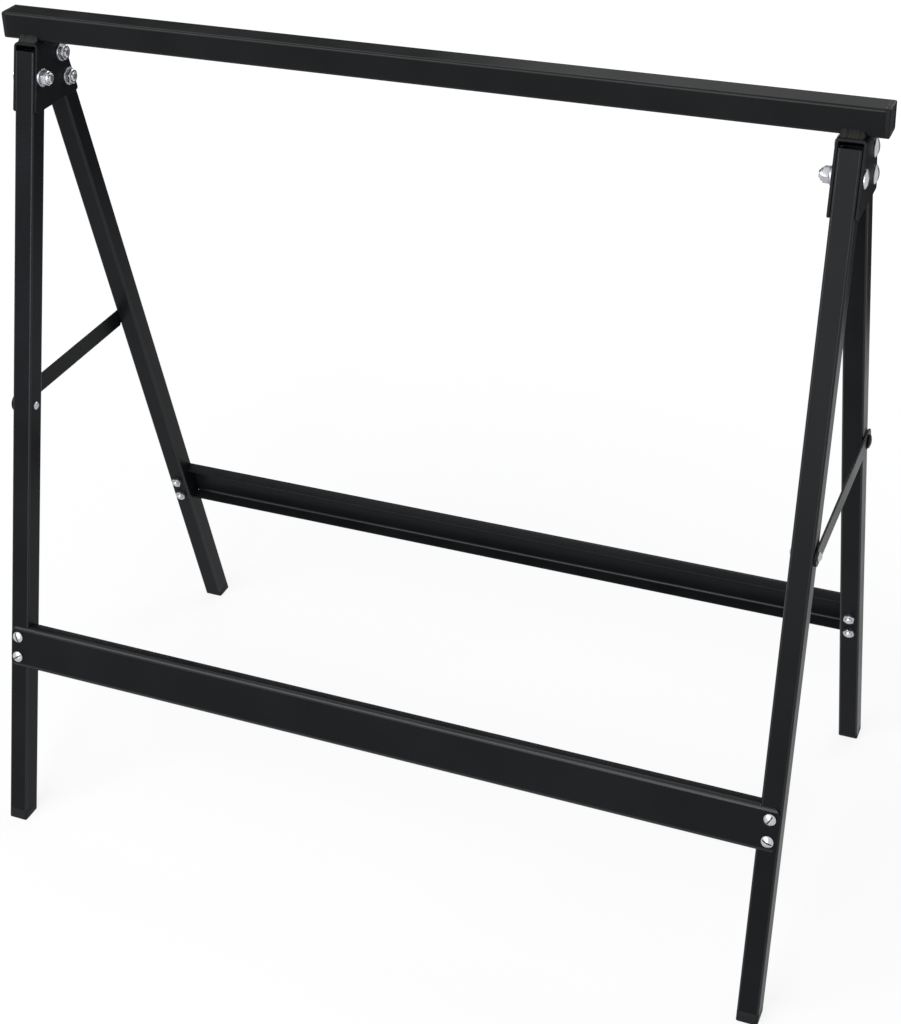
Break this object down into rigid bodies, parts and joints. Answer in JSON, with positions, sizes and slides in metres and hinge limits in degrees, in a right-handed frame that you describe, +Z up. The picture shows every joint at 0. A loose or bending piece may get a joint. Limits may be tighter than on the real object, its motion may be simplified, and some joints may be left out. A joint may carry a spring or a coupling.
{
  "type": "folding builders trestle",
  "caption": "Folding steel trestle: a square tube beam on hinged leg frames joined by stretchers and held open by hook-on stays.",
  "frame": {"origin": "on the floor, under the middle of the beam", "axes": "+X along the beam, +Y from the front frame that swings to the back frame that is fixed, +Z up"},
  "size_m": [0.82, 0.439, 0.79],
  "materials": {
    "beam_paint": "satin black powder coat",
    "frame_paint": "satin black powder coat",
    "bracket_paint": "satin black powder coat",
    "weld_paint": "satin black powder coat over a rippled weld",
    "stay_paint": "satin black powder coat",
    "bolt_zinc": "bright zinc plating",
    "nut_zinc": "bright zinc plating",
    "washer_zinc": "bright zinc plating",
    "rivet_zinc": "plain zinc plating",
    "plug_plastic": "moulded black plastic"
  },
  "bodies": {
    "beam_and_back_frame": {"top_beam": "beam_paint", "beam_plug_left": "plug_plastic", "beam_plug_right": "plug_plastic", "left_bracket": "bracket_paint", "right_bracket": "bracket_paint", "bracket_welds": "weld_paint", "back_leg_left": "frame_paint", "back_leg_right": "frame_paint", "back_stretcher": "frame_paint", "back_leg_bolts": "bolt_zinc", "back_leg_nuts": "nut_zinc", "back_leg_washers": "washer_zinc", "back_stretcher_screws": "bolt_zinc", "back_stretcher_nuts": "nut_zinc", "foot_plug_back_left": "plug_plastic", "foot_plug_back_right": "plug_plastic", "stay_stud_left": "stay_paint", "stay_stud_right": "stay_paint", "pivot_bolts": "bolt_zinc", "pivot_nuts": "nut_zinc", "pivot_washers": "washer_zinc"},
    "front_frame": {"front_leg_left": "frame_paint", "front_leg_right": "frame_paint", "front_stretcher": "frame_paint", "front_stretcher_screws": "bolt_zinc", "front_stretcher_nuts": "nut_zinc", "foot_plug_front_left": "plug_plastic", "foot_plug_front_right": "plug_plastic", "stay_rivet_left": "rivet_zinc", "stay_rivet_right": "rivet_zinc"},
    "left_stay": {"stay_left": "stay_paint"},
    "right_stay": {"stay_right": "stay_paint"}
  },
  "joints": [
    {"name": "fold", "type": "hinge", "parent": "beam_and_back_frame", "child": "front_frame", "pos_m": [0, -0.01957, 0.73296], "axis": [1, 0, 0], "range_deg": [0, 29]},
    {"name": "left_stay_turn", "type": "hinge", "parent": "front_frame", "child": "left_stay", "pos_m": [-0.3935, -0.09921, 0.425], "axis": [1, 0, 0], "range_deg": [0, 75.4]},
    {"name": "right_stay_turn", "type": "hinge", "parent": "front_frame", "child": "right_stay", "pos_m": [0.3935, -0.09921, 0.425], "axis": [1, 0, 0], "range_deg": [0, 75.4]}
  ],
  "couplings": [
    {"joint": "left_stay_turn", "follows": "fold", "ratio": 2.6},
    {"joint": "right_stay_turn", "follows": "fold", "ratio": 2.6}
  ]
}
